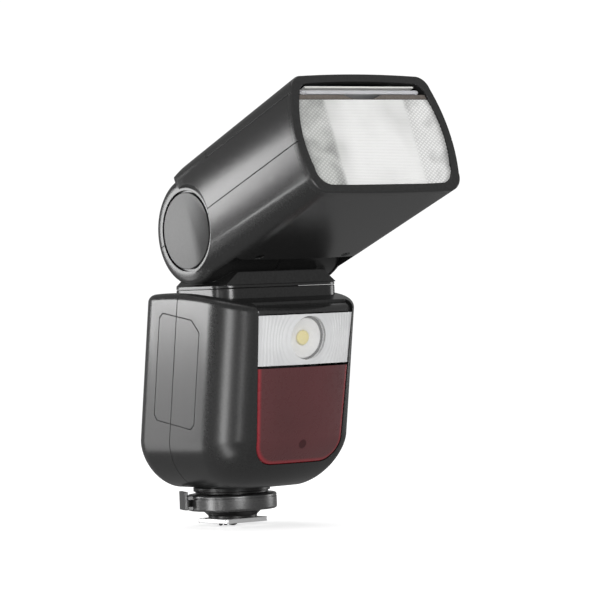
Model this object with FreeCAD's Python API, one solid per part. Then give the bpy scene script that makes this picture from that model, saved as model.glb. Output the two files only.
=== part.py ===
import FreeCAD, Part
import math
import os

# Speedlight flash, millimetres. Origin at the centre of the hot shoe plate's underside.
# +Z up, the lamp side faces -Y, +X to the right of somebody facing the front panel.

os.makedirs("parts", exist_ok=True)
V = FreeCAD.Vector

# ---- driving dimensions -------------------------------------------------------------
GAP = 0.15               # clearance round a piece let into a shell
WALL = 2.0               # body shell wall
HEAD_WALL = 1.8          # head shell wall

# hot shoe foot
SHOE_X = 18.6
SHOE_Y = 18.0
SHOE_T = 1.6
STEM_R = 11.0            # spindle that the lock ring turns on
COLLAR_R = 13.9
RING_R = 16.2
RING_Z = (4.6, 10.4)
CONTACT_REACH = 1.3      # how far the sprung pins stand below the plate
LOCK_PIN_Y = -7.0

# body: level sections that step towards the front as they rise
LEAN = 9.0
LEAN_SLOPE = math.tan(math.radians(LEAN))
BODY_HALF = 29.4
BODY_BACK = 25.2         # back face at z = 0, carried along the lean
BODY_FRONT = -36.1       # front edges at z = 0, carried along the lean
PANEL_HALF = 21.0        # half width of the front panel
BULGE = 2.8              # crown of the front panel
FLANK = 19.0             # depth of the rounded flank beside the front panel
BACK_R = 9.0
BODY_BOTTOM = 13.3
ROUND_TOP = 31.0         # height at which the rounded bottom meets the walls
ROUND_POWER = 1.7
TOP_ROUND = 3.0
CROWN_R = 182.0
CROWN_Y = -4.0
CROWN_Z = 83.5

# neck and head
NECK_Y = -19.0
HINGE_Z = 105.3
TILT = 21.0
NECK_HALF = 26.6
NECK_DEPTH = 16.3
NECK_CORNER = 7.0
COLLAR_TOP = 84.5
FLANGE_Z = (84.6, 85.6)
THRUST_R = 15.3          # thrust disc under the flange, let into the top of the collar
THRUST_Z = 83.9
TUBE_R = 9.0             # neck tube that turns in the collar, with the cable bore through it
TUBE_BORE = 7.0
APRON_TOP = 90.1
DRUM_R = 19.0
CHEEK_IN = 27.0
CHEEK_OUT = 29.7
CHEEK_R = 19.3
CHEEK_FLAT = 15.4        # radius of the cheek's flat outer face
CAP_R = 13.6
TRUNNION_R = 6.0         # hinge stubs on the drum, bored for the cable
HEAD_FRONT = 77.2
BEZEL_T = 2.6
WELL_R = 22.3            # clearance bore round the neck drum
PARTING = 0.3            # height of the head's middle parting line
COVER_LINE = 18.2        # height of the top cover's parting line
COVER_BACK = -22.0       # back edge of the top cover
SEAM = 0.22              # width of the head's parting lines
LENS_TOP = 16.0
SCREW_X = 19.0           # case screws in the underside of the head
SCREW_F = 22.7
SCREW_Z = -19.6
THUMB_R = 18.0           # thumb notch in the strip under the pull-out panel
THUMB_Z = 33.7


# ---- helpers ------------------------------------------------------------------------
def save(name, *shapes):
    shape = shapes[0] if len(shapes) == 1 else Part.makeCompound(list(shapes))
    for solid in shape.Solids:
        if not solid.isValid():
            print("invalid solid in", name)
    print(f"{name:24s} solids {len(shape.Solids)} volume {shape.Volume:10.1f}")
    shape.exportStep(f"parts/{name}.step")


def box(x, y, z):
    return Part.makeBox(x[1] - x[0], y[1] - y[0], z[1] - z[0], V(x[0], y[0], z[0]))


def cyl(radius, start, direction, length):
    return Part.makeCylinder(radius, length, V(*start), V(*direction))


def cone(r0, r1, start, direction, length):
    return Part.makeCone(r0, r1, length, V(*start), V(*direction))


def prism(points, direction):
    """Closed straight-sided outline swept along a direction."""
    return Part.Face(Part.makePolygon([V(*p) for p in points + points[:1]])).extrude(V(*direction))


def arc(a, b, c):
    return Part.Arc(V(*a), V(*b), V(*c)).toShape()


def line(a, b):
    return Part.makeLine(V(*a), V(*b))


def rounded_box(x, y, z, radius, axis="z"):
    """Box whose four edges along one axis are rounded."""
    shape = box(x, y, z)
    index = "xyz".index(axis)
    edges = []
    for edge in shape.Edges:
        step = edge.Vertexes[1].Point - edge.Vertexes[0].Point
        if abs(step[index]) > 1e-6:
            edges.append(edge)
    return shape.makeFillet(radius, edges)


def soften(shape, radius, pick):
    """Round the edges that pick() accepts."""
    return shape.makeFillet(radius, [edge for edge in shape.Edges if pick(edge)])


def revolve(profile, axis_point, axis):
    face = Part.Face(Part.makePolygon([V(*p) for p in profile + profile[:1]]))
    return face.revolve(V(*axis_point), V(*axis), 360)


def leaned(shape):
    """From upright body coordinates (v = depth, w = height) into the object's frame."""
    shape = shape.copy()
    shape.rotate(V(0, 0, 0), V(1, 0, 0), LEAN)
    return shape


def on_head(shape):
    """From head coordinates (hinge axis at the origin, lamp end at -Y) into the frame."""
    shape = shape.copy()
    shape.rotate(V(0, 0, 0), V(1, 0, 0), -TILT)
    shape.translate(V(0, NECK_Y, HINGE_Z))
    return shape


def mirrored(shape):
    return shape.mirror(V(0, 0, 0), V(1, 0, 0))


# ---- body form ----------------------------------------------------------------------
def rounding(z, bottom, reach):
    """Inset of a wall at height z where the walls curve in under the body."""
    if z >= ROUND_TOP:
        return 0.0
    u = min(1.0, (ROUND_TOP - z) / (ROUND_TOP - bottom))
    return reach * (1.0 - (1.0 - u ** ROUND_POWER) ** (1.0 / ROUND_POWER))


def body_section(z, inset, bottom):
    half = BODY_HALF - inset - rounding(z, bottom, 15.0)
    back = BODY_BACK - LEAN_SLOPE * z - inset - rounding(z, bottom, 8.7)
    front = BODY_FRONT - LEAN_SLOPE * z + inset + rounding(z, bottom, 14.0)
    share = half / BODY_HALF
    edge = PANEL_HALF * share
    flank = FLANK * share
    corner = BACK_R * share
    bulge = BULGE * share
    step = half - edge
    flank_r = (step * step + flank * flank) / (2.0 * step)
    turn = 0.5 * math.asin(flank / flank_r)
    mid_x = half - flank_r + flank_r * math.cos(turn)
    mid_y = front + flank - flank_r * math.sin(turn)
    bend = corner * (1.0 - math.sqrt(0.5))
    flat = half - corner
    edges = [
        line((-flat, back, z), (flat, back, z)),
        arc((flat, back, z), (half - bend, back - bend, z), (half, back - corner, z)),
        line((half, back - corner, z), (half, front + flank, z)),
        arc((half, front + flank, z), (mid_x, mid_y, z), (edge, front, z)),
        arc((edge, front, z), (0, front - bulge, z), (-edge, front, z)),
        arc((-edge, front, z), (-mid_x, mid_y, z), (-half, front + flank, z)),
        line((-half, front + flank, z), (-half, back - corner, z)),
        arc((-half, back - corner, z), (-half + bend, back - bend, z), (-flat, back, z)),
    ]
    return Part.Wire(edges)


def body_form(inset):
    """Solid of the body's outer shape, drawn in by inset."""
    bottom = BODY_BOTTOM + inset
    depth = ROUND_TOP - bottom
    shares = (1.0, 0.985, 0.93, 0.82, 0.66, 0.48, 0.3, 0.14, 0.0, -0.14)
    rounded = [body_section(ROUND_TOP - depth * share, inset, bottom) for share in shares]
    foot = Part.makeLoft(rounded, True, False).common(box((-60, 60), (-90, 60), (0, ROUND_TOP)))
    straight = [body_section(z, inset, bottom) for z in (ROUND_TOP, 90.0)]
    walls = foot.fuse(Part.makeLoft(straight, True, True))
    crown = cyl(CROWN_R - inset, (-60, CROWN_Y, CROWN_Z - CROWN_R), (1, 0, 0), 120)
    return soften(walls.common(crown), TOP_ROUND - inset * 0.8, lambda e: e.BoundBox.ZMin > 75)


def rounded_plan(half, y, z, corner):
    return rounded_box((-half, half), y, z, corner)


# side cover outline in upright body coordinates
COVER_V = (-13.0, 11.5)
COVER_W = (37.1, 76.0)
PACK_TOP = 68.0          # the battery stops short of the neck tube
PACK_LENGTH = 43.0


def cover_outline(inset, x, thickness):
    v0, v1 = COVER_V[0] + inset, COVER_V[1] - inset
    w0, w1 = COVER_W[0] + inset, COVER_W[1] - inset
    cut = 1.9
    cut_v, cut_w = 5.0, 3.8
    points = [
        (x, v0 + cut, w0), (x, v1 - cut, w0), (x, v1, w0 + cut), (x, v1, w1 - cut), (x, v1 - cut, w1),
        (x, v0 + cut_v, w1), (x, v0, w1 - cut_w), (x, v0, w0 + cut),
    ]
    return prism(points, (thickness, 0, 0))


# ---- hot shoe foot ------------------------------------------------------------------
SPIGOT_R = 10.0          # plug of the foot inside the body
SPIGOT_TOP = 17.0
CONTACT_ROW_Y = 3.0
CONTACT_XS = (-3.3, -1.1, 1.1, 3.3)
FOOT_SCREW_X = 5.4
FOOT_SCREW_Y = 5.4


def contact_bores(extra, top):
    bores = [cyl(1.3 + extra, (0, 0, -5), (0, 0, 1), top + 5)]
    for x in CONTACT_XS:
        bores.append(cyl(0.75 + extra, (x, CONTACT_ROW_Y, -5), (0, 0, 1), top + 5))
    bores.append(cyl(1.0 + extra, (0, LOCK_PIN_Y, -5), (0, 0, 1), top + 5))
    return bores


def screw(x, y, z, radius, head_r, head_t, length):
    """Countersunk screw with its head at the bottom, cross slot cut in it."""
    body = cyl(radius, (x, y, z), (0, 0, 1), length)
    body = body.fuse(cone(head_r, radius, (x, y, z), (0, 0, 1), head_t))
    for dx, dy in ((head_r * 0.6, 0.2), (0.2, head_r * 0.6)):
        body = body.cut(box((x - dx, x + dx), (y - dy, y + dy), (z - 1, z + 0.45)))
    return body


def make_foot():
    plate = rounded_box((-SHOE_X / 2, SHOE_X / 2), (-SHOE_Y / 2, SHOE_Y / 2), (0, SHOE_T), 1.0)
    plate = soften(plate, 0.2, lambda e: e.BoundBox.ZLength < 0.01)
    screws = []
    holes = []
    for x in (-FOOT_SCREW_X, FOOT_SCREW_X):
        for y in (-FOOT_SCREW_Y, FOOT_SCREW_Y):
            screws.append(screw(x, y, 0.05, 0.7, 1.4, 0.9, 4.6))
            holes.append(cyl(0.75, (x, y, -1), (0, 0, 1), 5.8))
            holes.append(cone(1.5, 0.75, (x, y, 0), (0, 0, 1), 1.0))
    for hole in holes + contact_bores(0.15, SHOE_T + 1):
        plate = plate.cut(hole)
    save("hot_shoe_plate", plate)
    save("foot_screws", *screws)

    top = BODY_BOTTOM - 0.05
    profile = [
        (0, 0, SHOE_T), (8.8, 0, SHOE_T), (8.8, 0, 2.5), (10.2, 0, 3.9), (STEM_R, 0, 4.1), (STEM_R, 0, 10.6),
        (COLLAR_R - 0.7, 0, 10.7), (COLLAR_R - 0.7, 0, 11.3), (COLLAR_R, 0, 11.5), (COLLAR_R, 0, 12.8),
        (COLLAR_R - 0.8, 0, top), (SPIGOT_R, 0, top), (SPIGOT_R, 0, SPIGOT_TOP), (0, 0, SPIGOT_TOP),
    ]
    stem = revolve(profile, (0, 0, 0), (0, 0, 1))
    for hole in holes + contact_bores(0.1, 9.0):
        stem = stem.cut(hole)
    save("foot_stem", stem)

    ring = cyl(RING_R, (0, 0, RING_Z[0]), (0, 0, 1), RING_Z[1] - RING_Z[0])
    ring = soften(ring, 0.8, lambda e: e.BoundBox.ZLength < 0.01)
    groove = cyl(RING_R + 1, (0, 0, 9.0), (0, 0, 1), 0.35)
    groove = groove.cut(cyl(RING_R - 0.4, (0, 0, 9.0), (0, 0, 1), 0.35))
    ring = ring.cut(groove)
    tab = rounded_box((-18.6, -17.4), (-4.6, 4.6), (5.2, 11.8), 0.5, "z")
    tab = tab.fuse(box((-17.5, -14.5), (-4.2, 4.2), (5.2, 6.4)))
    tab = tab.fuse(box((-17.5, -14.5), (-4.2, 4.2), (8.9, 10.1)))
    tab.rotate(V(0, 0, 0), V(0, 0, 1), -22)
    ring = ring.fuse(tab).cut(cyl(STEM_R + 0.06, (0, 0, 0), (0, 0, 1), 20))
    save("lock_ring", ring)

    pin = cyl(1.0, (0, LOCK_PIN_Y, 0.4), (0, 0, 1), 8.0)
    save("lock_pin", soften(pin, 0.3, lambda e: e.BoundBox.ZMax < 0.5))

    pins = []
    for x, y, r in [(0, 0, 1.3)] + [(x, CONTACT_ROW_Y, 0.75) for x in CONTACT_XS]:
        tip = cyl(r, (x, y, -CONTACT_REACH), (0, 0, 1), CONTACT_REACH + 7.0)
        pins.append(soften(tip, r * 0.7, lambda e: e.BoundBox.ZMax < 0.1 - CONTACT_REACH))
    save("shoe_contacts", *pins)


# ---- body ---------------------------------------------------------------------------
PANEL_Z = (22.0, 78.4)
WINDOW_Z = (56.7, 74.6)
RED_Z = (22.0, 55.9)
BROW_Z = (74.9, 79.0)
BROW_Y = -43.5           # the brow laps back over the top edge as far as this
RED_CORNER = 8.0
PANEL_SLOPE = 0.045      # the front panel narrows towards the foot
SPLIT_Y = 1.2            # side parting plane at z = 0, carried along the lean
BACK_V = 24.9            # back face in upright body coordinates
LCD_X = 19.0
LCD_W = (54.5, 78.5)
KEY_W = 50.4
KEY_XS = (-13.8, -4.6, 4.6, 13.8)
KEY_SIZE = (7.2, 3.4)
DIAL_W = 35.3
DIAL_R = 10.4
SET_R = 5.0
BUTTON_X = 16.2
BUTTON_WS = (29.4, 40.2)
BUTTON_R = 2.9
SWITCH_W = 21.0
LAMP_W = 72.5
PORT_V = (-9.0, 5.0)
PORT_W = (44.0, 66.0)
PORT_CORNER = 2.0


def panel_half(z):
    return PANEL_HALF - PANEL_SLOPE * (WINDOW_Z[1] - z) - 0.3


def panel_prism(z0, z1, inset, corner=0.0):
    """Front panel outline between two heights, swept through the front wall."""
    bottom, top = z0 + inset, z1 - inset
    low, high = panel_half(z0) - inset, panel_half(z1) - inset
    points = [(-high, -70, top), (-low, -70, bottom), (low, -70, bottom), (high, -70, top)]
    shape = prism(points, (0, 45, 0))
    if corner:
        shape = soften(shape, corner, lambda e: e.BoundBox.YLength > 40 and e.BoundBox.ZMax < bottom + 1)
    return shape


def behind_split(side, gap):
    """Half space in front of (side -1) or behind (side +1) the body's parting plane."""
    far = 80 * side
    y0 = SPLIT_Y + side * gap / 2
    y1 = y0 - LEAN_SLOPE * 100
    return prism([(-60, y0, 0), (-60, y1, 100), (-60, y1 + far, 100), (-60, y0 + far, 0)], (120, 0, 0))


def rear_openings():
    """Cut-outs in the back wall, in upright body coordinates."""
    v = (BACK_V - 6, BACK_V + 4)
    cuts = [box((-LCD_X - GAP, LCD_X + GAP), v, (LCD_W[0] - GAP, LCD_W[1] + GAP))]
    for x in KEY_XS:
        half, tall = KEY_SIZE[0] / 2 + 0.3, KEY_SIZE[1] / 2 + 0.3
        cuts.append(rounded_box((x - half, x + half), v, (KEY_W - tall, KEY_W + tall), 1.2, "y"))
    cuts.append(cyl(DIAL_R + 0.4, (0, v[0], DIAL_W), (0, 1, 0), 10))
    for x in (-BUTTON_X, BUTTON_X):
        for w in BUTTON_WS:
            cuts.append(cyl(BUTTON_R + 0.3, (x, v[0], w), (0, 1, 0), 10))
    cuts.append(box((-8.3, 8.3), v, (SWITCH_W - 2.5, SWITCH_W + 2.5)))
    return leaned(Part.makeCompound(cuts))


def make_body(outer, inner):
    shell = outer.cut(inner)
    front_wall = box((-60, 60), (-80, -20), (0, 70)).fuse(box((-60, 60), (-80, BROW_Y), (0, 100)))
    shell = shell.cut(panel_prism(PANEL_Z[0], PANEL_Z[1] + 6, -GAP, RED_CORNER + GAP).common(front_wall))
    shell = shell.cut(leaned(cover_outline(0, -BODY_HALF - 3, 6)))
    shell = shell.cut(leaned(rounded_box((BODY_HALF - 5, BODY_HALF + 5), PORT_V, PORT_W, PORT_CORNER, "x")))
    shell = shell.cut(rear_openings())
    neck_hole = (NECK_Y - NECK_DEPTH - GAP, NECK_Y + NECK_DEPTH + GAP)
    shell = shell.cut(rounded_plan(NECK_HALF + GAP, neck_hole, (70, 95), NECK_CORNER))
    shell = shell.cut(cyl(SPIGOT_R + GAP, (0, 0, 8), (0, 0, 1), 12))
    save("body_front_shell", shell.common(behind_split(-1, 0.24)))
    save("body_rear_shell", shell.common(behind_split(1, 0.24)))

    skin = outer.cut(body_form(2.2))
    window = skin.common(panel_prism(*WINDOW_Z, 0))
    save("front_window", window)
    save("red_panel", skin.common(panel_prism(*RED_Z, 0, RED_CORNER)))
    deep_skin = body_form(0.9).cut(body_form(2.6))
    ahead = box((-60, 60), (-80, BROW_Y - GAP), (0, 100))
    save("front_brow", deep_skin.common(panel_prism(*BROW_Z, 0)).common(ahead))

    depth = (NECK_Y - NECK_DEPTH, NECK_Y + NECK_DEPTH)
    collar = rounded_plan(NECK_HALF, depth, (77.0, COLLAR_TOP), NECK_CORNER)
    collar = soften(collar, 0.4, lambda e: e.BoundBox.ZMin > COLLAR_TOP - 0.01)
    seat = cyl(THRUST_R + 0.3, (0, NECK_Y, THRUST_Z - 0.3), (0, 0, 1), 5)
    save("swivel_collar", collar.cut(seat).cut(cyl(TUBE_R + 0.08, (0, NECK_Y, 70), (0, 0, 1), 30)))
    ring = cyl(13.0, (0, NECK_Y, 75.0), (0, 0, 1), 1.6).cut(cyl(TUBE_R + 0.3, (0, NECK_Y, 70), (0, 0, 1), 30))
    save("swivel_detent_plate", ring)


def make_battery():
    cover = cover_outline(0.22, -BODY_HALF, 2.0)
    seam = SPLIT_Y * math.cos(math.radians(LEAN))
    cover = cover.cut(box((-BODY_HALF - 1, -BODY_HALF + 0.25), (seam - 0.12, seam + 0.12), (30, 80)))
    save("battery_cover", leaned(cover))
    below = box((-BODY_HALF, BODY_HALF), (-30, 30), (0, PACK_TOP))
    pack = cover_outline(1.3, -BODY_HALF + WALL, PACK_LENGTH).common(below)
    save("battery_pack", leaned(pack))
    bay = cover_outline(-0.2, -BODY_HALF + WALL + 0.1, PACK_LENGTH + 2.4)
    bay = bay.common(box((-BODY_HALF, BODY_HALF), (-30, 30), (0, PACK_TOP + 1.6)))
    room = cover_outline(0.7, -BODY_HALF + 1, PACK_LENGTH + 2.0)
    room = room.common(box((-BODY_HALF, BODY_HALF), (-30, 30), (0, PACK_TOP + 0.6)))
    save("battery_bay", leaned(bay.cut(room)))


def make_ports():
    block = box((23.2, 27.2), (PORT_V[0] - 1, PORT_V[1] + 1), (PORT_W[0] - 1, PORT_W[1] + 1))
    usb = rounded_box((20.5, 28), (-4.4, 0.4), (48.0, 57.0), 1.5, "x")
    jack = cyl(2.9, (20.5, -2.0, 61.4), (1, 0, 0), 8)
    block = block.cut(usb).cut(jack)
    save("port_block", leaned(block))
    shell = rounded_box((20.8, 27.0), (-4.3, 0.3), (48.1, 56.9), 1.4, "x")
    shell = shell.cut(rounded_box((21.6, 28), (-3.9, -0.1), (48.5, 56.5), 1.2, "x"))
    tongue = box((21.6, 26.2), (-2.4, -1.6), (49.6, 55.4))
    save("usb_socket", leaned(shell.fuse(tongue)))
    sync = cyl(2.8, (20.8, -2.0, 61.4), (1, 0, 0), 6.2).cut(cyl(1.3, (21.8, -2.0, 61.4), (1, 0, 0), 8))
    save("sync_socket", leaned(sync))
    flap_v = (PORT_V[0] + 0.25, PORT_V[1] - 0.25)
    flap_w = (PORT_W[0] + 0.25, PORT_W[1] - 0.25)
    flap = rounded_box((27.5, BODY_HALF), flap_v, flap_w, PORT_CORNER - 0.2, "x")
    flap = soften(flap, 0.5, lambda e: e.BoundBox.XMin > BODY_HALF - 0.01)
    save("port_cover", leaned(flap))


def make_front_electronics():
    profile = [(0, -34.2, 0), (3.6, -34.2, 0), (6.5, -35.6, 0), (7.2, -35.6, 0), (7.2, -33.3, 0), (0, -33.3, 0)]
    cup = revolve(profile, (0, 0, 0), (0, 1, 0))
    cup.translate(V(0, 0, LAMP_W))
    save("lamp_cup", leaned(cup))
    chip = rounded_box((-2.1, 2.1), (-35.0, -34.2), (LAMP_W - 2.1, LAMP_W + 2.1), 0.5, "y")
    save("lamp_chip", leaned(chip))
    assist = cyl(4.0, (0, -34.6, 50.0), (0, 1, 0), 4.0).fuse(cyl(5.0, (0, -30.6, 50.0), (0, 1, 0), 1.2))
    save("assist_lamp", leaned(assist))
    sensor = rounded_box((-2.4, 2.4), (-35.0, -32.9), (33.6, 38.4), 1.0, "y")
    save("light_sensor", leaned(sensor))
    can = cyl(8.0, (-17, -22.0, 33.0), (1, 0, 0), 34)
    save("main_capacitor", leaned(soften(can, 1.0, lambda e: e.BoundBox.XLength < 0.1)))


def make_rear_controls():
    pane = rounded_box((-LCD_X, LCD_X), (BACK_V - 1.8, BACK_V), LCD_W, 1.6, "y")
    save("lcd_window", leaned(pane))
    save("lcd_module", leaned(box((-18, 18), (BACK_V - 5.4, BACK_V - 2.2), (LCD_W[0] + 0.6, LCD_W[1] - 0.6))))
    save("main_board", leaned(box((-22, 22), (14.0, 15.4), (27, 76))))
    half, tall = KEY_SIZE[0] / 2, KEY_SIZE[1] / 2
    key_w = (KEY_W - tall, KEY_W + tall)
    for number, x in enumerate(KEY_XS, 1):
        key = rounded_box((x - half, x + half), (BACK_V - 3.2, BACK_V + 0.9), key_w, 1.0, "y")
        key = soften(key, 0.3, lambda e: e.BoundBox.YMin > BACK_V + 0.8)
        save(f"soft_key_{number}", leaned(key))

    dial = cyl(DIAL_R, (0, BACK_V - 2.4, DIAL_W), (0, 1, 0), 4.4)
    dial = soften(dial, 0.7, lambda e: e.BoundBox.YMin > BACK_V)
    dial = dial.cut(cyl(SET_R + 0.4, (0, BACK_V - 3, DIAL_W), (0, 1, 0), 8))
    for k in range(36):
        angle = 2 * math.pi * k / 36
        x, w = DIAL_R * math.cos(angle), DIAL_W + DIAL_R * math.sin(angle)
        dial = dial.cut(cyl(0.32, (x, BACK_V + 0.2, w), (0, 1, 0), 3))
    save("select_dial", leaned(dial))
    button = cyl(SET_R, (0, BACK_V - 3.4, DIAL_W), (0, 1, 0), 4.9)
    save("set_button", leaned(soften(button, 0.5, lambda e: e.BoundBox.YMin > BACK_V)))
    names = iter(("mode_button", "lamp_button", "wireless_button", "test_button"))
    for x in (-BUTTON_X, BUTTON_X):
        for w in BUTTON_WS:
            button = cyl(BUTTON_R, (x, BACK_V - 3.2, w), (0, 1, 0), 4.1)
            save(next(names), leaned(soften(button, 0.4, lambda e: e.BoundBox.YMin > BACK_V)))
    knob = rounded_box((-3.0, 3.0), (BACK_V - 3.8, BACK_V + 0.6), (SWITCH_W - 2.1, SWITCH_W + 2.1), 0.8, "y")
    for x in (-1.2, 0.0, 1.2):
        knob = knob.cut(box((x - 0.2, x + 0.2), (BACK_V + 0.2, BACK_V + 2), (SWITCH_W - 3, SWITCH_W + 3)))
    save("power_switch", leaned(knob))


# ---- neck ---------------------------------------------------------------------------
def make_neck():
    y = (NECK_Y - NECK_DEPTH, NECK_Y + NECK_DEPTH)
    flange = rounded_plan(NECK_HALF, y, FLANGE_Z, NECK_CORNER)
    flange = soften(flange, 0.25, lambda e: e.BoundBox.ZMin > FLANGE_Z[1] - 0.01)
    front, low = y[0] + 1.0, FLANGE_Z[1]
    outline = [(-24.5, front, low), (24.5, front, low), (19.0, front, APRON_TOP), (-19.0, front, APRON_TOP)]
    apron = prism(outline, (0, 2 * NECK_DEPTH - 2.6, 0))
    apron = soften(apron, 1.6, lambda e: e.BoundBox.YLength > 20 and e.BoundBox.ZMin > APRON_TOP - 0.01)
    half = CHEEK_IN - 0.3
    drum = cyl(DRUM_R, (-half, NECK_Y, HINGE_Z), (1, 0, 0), 2 * half)
    drum = drum.cut(cyl(DRUM_R - 2.4, (-half + 2.4, NECK_Y, HINGE_Z), (1, 0, 0), 2 * half - 4.8))
    yoke = flange.fuse(apron).fuse(drum)
    mark = box((-0.15, 0.15), (NECK_Y - 22, NECK_Y - 10), (HINGE_Z - 14.6, HINGE_Z - 9.0))
    yoke = yoke.cut(mark.cut(cyl(DRUM_R - 0.25, (-2, NECK_Y, HINGE_Z), (1, 0, 0), 4)))
    yoke = yoke.cut(cyl(TUBE_BORE, (0, NECK_Y, 60), (0, 0, 1), 34))
    for side in (-1, 1):
        yoke = yoke.fuse(cyl(TRUNNION_R, (side * (half - 0.2), NECK_Y, HINGE_Z), (side, 0, 0), 1.9))
        yoke = yoke.cut(cyl(4.2, (side * (half - 4), NECK_Y, HINGE_Z), (side, 0, 0), 8))
    save("swivel_yoke", yoke)
    tube = cyl(TUBE_R, (0, NECK_Y, 72.0), (0, 0, 1), FLANGE_Z[0] - 72.0)
    tube = tube.fuse(cyl(THRUST_R, (0, NECK_Y, THRUST_Z), (0, 0, 1), FLANGE_Z[0] - THRUST_Z))
    tube = tube.cut(cyl(TUBE_BORE, (0, NECK_Y, 60), (0, 0, 1), 34))
    tube = tube.cut(cyl(9.5, (0, NECK_Y, 72.6), (0, 0, 1), 1.2).cut(cyl(8.2, (0, NECK_Y, 72.6), (0, 0, 1), 1.2)))
    save("neck_tube", tube)
    clip = cyl(10.6, (0, NECK_Y, 72.75), (0, 0, 1), 0.9).cut(cyl(8.3, (0, NECK_Y, 70), (0, 0, 1), 8))
    clip = clip.cut(box((-2.5, 2.5), (NECK_Y, NECK_Y + 15), (70, 76)))
    save("retaining_clip", clip)


# ---- head ---------------------------------------------------------------------------
def head_section(f, inset):
    """Cross-section of the head at distance f in front of the hinge."""
    t = f / HEAD_FRONT
    half = 33.0 + 0.9 * t - inset
    top = 23.9 + 1.4 * t - inset
    low = -19.9 + 1.2 * t + inset
    soft = 1.0 + 0.5 * (1.0 - t)
    y = -f
    corner_x = half * (1.0 - 0.2 * soft)
    corner_z = low + 6.5 * soft
    edges = [
        arc((-corner_x, y, low), (0, y, low - 0.4), (corner_x, y, low)),
        arc((corner_x, y, low), (half * (1.0 - 0.07 * soft), y, low + 2.6 * soft), (0.965 * half, y, corner_z)),
        arc((0.965 * half, y, corner_z), (half, y, -2), (0.90 * half, y, top - 5.5)),
        arc((0.90 * half, y, top - 5.5), (0.845 * half, y, top - 2.1), (0.73 * half, y, top - 0.7)),
        arc((0.73 * half, y, top - 0.7), (0, y, top), (-0.73 * half, y, top - 0.7)),
        arc((-0.73 * half, y, top - 0.7), (-0.845 * half, y, top - 2.1), (-0.90 * half, y, top - 5.5)),
        arc((-0.90 * half, y, top - 5.5), (-half, y, -2), (-0.965 * half, y, corner_z)),
        arc((-0.965 * half, y, corner_z), (-half * (1.0 - 0.07 * soft), y, low + 2.6 * soft), (-corner_x, y, low)),
    ]
    return Part.Wire(edges)


def head_block(f0, f1, inset):
    return Part.makeLoft([head_section(f0, inset), head_section(f1, inset)], True, True)


def cheek():
    """Left hinge cheek, rounded towards its outer face."""
    bend = CHEEK_R - CHEEK_FLAT
    profile = [(-CHEEK_IN, 0, 0), (-CHEEK_IN, 0, CHEEK_R)]
    for k in range(7):
        angle = math.pi / 2 * k / 6
        profile.append((-CHEEK_IN - 0.1 - 2.6 * math.sin(angle), 0, CHEEK_R - bend * (1 - math.cos(angle))))
    profile.append((-CHEEK_OUT, 0, 0))
    return revolve(profile, (0, 0, 0), (1, 0, 0))


def hinge_recess():
    """Left-hand tool that sinks the hinge cap into the side of the head."""
    profile = [
        (-CHEEK_OUT, 0, 0), (-CHEEK_OUT, 0, 15.2), (-30.6, 0, 16.0), (-34.5, 0, 21.0), (-45, 0, 24), (-45, 0, 0),
    ]
    return revolve(profile, (0, 0, 0), (1, 0, 0))


def make_head_shells():
    ahead = -HEAD_FRONT - 5
    side = [
        (-60, 0.6, -19.3), (-60, -20.3, -21.0), (-60, ahead, -21.0), (-60, ahead, 27.0),
        (-60, -9.0, 27.0), (-60, -9.0, 23.8), (-60, 4.6, 18.75), (-60, 5.0, 0.0),
    ]
    shell_end = HEAD_FRONT - BEZEL_T - 0.02
    block = head_block(0.0, shell_end, 0.0).common(prism(side, (120, 0, 0)))
    taper_in = -CHEEK_IN - 0.2
    corner = [(taper_in, 5.5, 0.5), (-33.5, -14.0, 0.5), (-45, -14.0, 0.5), (-45, 20, 0.5), (taper_in, 20, 0.5)]
    taper = prism(corner, (0, 0, 40))
    for tool in (hinge_recess(), mirrored(hinge_recess()), taper, mirrored(taper)):
        block = block.cut(tool)
    block = block.fuse(cheek()).fuse(mirrored(cheek()))
    block = block.cut(cyl(WELL_R, (-CHEEK_IN, 0, 0), (1, 0, 0), 2 * CHEEK_IN))
    block = block.cut(box((-CHEEK_IN, CHEEK_IN), (-20.3, 40), (-30, 0)))
    block = block.cut(box((-CHEEK_IN, CHEEK_IN), (-5.5, 40), (0, 30)))
    block = block.cut(head_block(25.0, HEAD_FRONT + 2, HEAD_WALL))
    for side_x in (-1, 1):
        block = block.cut(cyl(TRUNNION_R + 0.08, (side_x * 26, 0, 0), (side_x, 0, 0), 2.8))
        seat = cyl(CAP_R + 0.7, (side_x * 28.7, 0, 0), (side_x, 0, 0), 4)
        block = block.cut(seat)
    screws = []
    for side_x in (-SCREW_X, SCREW_X):
        screws.append(screw(side_x, -SCREW_F, SCREW_Z, 0.8, 1.6, 0.8, 4.5))
        block = block.cut(cyl(0.85, (side_x, -SCREW_F, -25), (0, 0, 1), 25 + SCREW_Z + 4.7))
        block = block.cut(cone(1.7, 0.85, (side_x, -SCREW_F, SCREW_Z), (0, 0, 1), 0.85))
        block = block.cut(cyl(1.7, (side_x, -SCREW_F, SCREW_Z - 2), (0, 0, 1), 2))
    save("head_screws", on_head(Part.makeCompound(screws)))
    lower = block.common(box((-50, 50), (-90, 50), (-40, PARTING - SEAM / 2)))
    upper = block.common(box((-50, 50), (-90, 50), (PARTING + SEAM / 2, 40)))
    cover = upper.common(box((-50, 50), (-90, COVER_BACK - SEAM), (COVER_LINE + SEAM, 40)))
    upper = upper.cut(box((-50, 50), (-90, COVER_BACK), (COVER_LINE, 40)))
    save("head_lower_shell", on_head(lower))
    save("head_upper_shell", on_head(upper))
    save("head_top_cover", on_head(cover))
    caps = []
    for side_x in (-1, 1):
        cap = cyl(CAP_R, (side_x * 28.8, 0, 0), (side_x, 0, 0), CHEEK_OUT - 28.8)
        caps.append(on_head(soften(cap, 0.25, lambda e: abs(e.BoundBox.Center.x) > CHEEK_OUT - 0.05)))
    save("hinge_caps", *caps)


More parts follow.
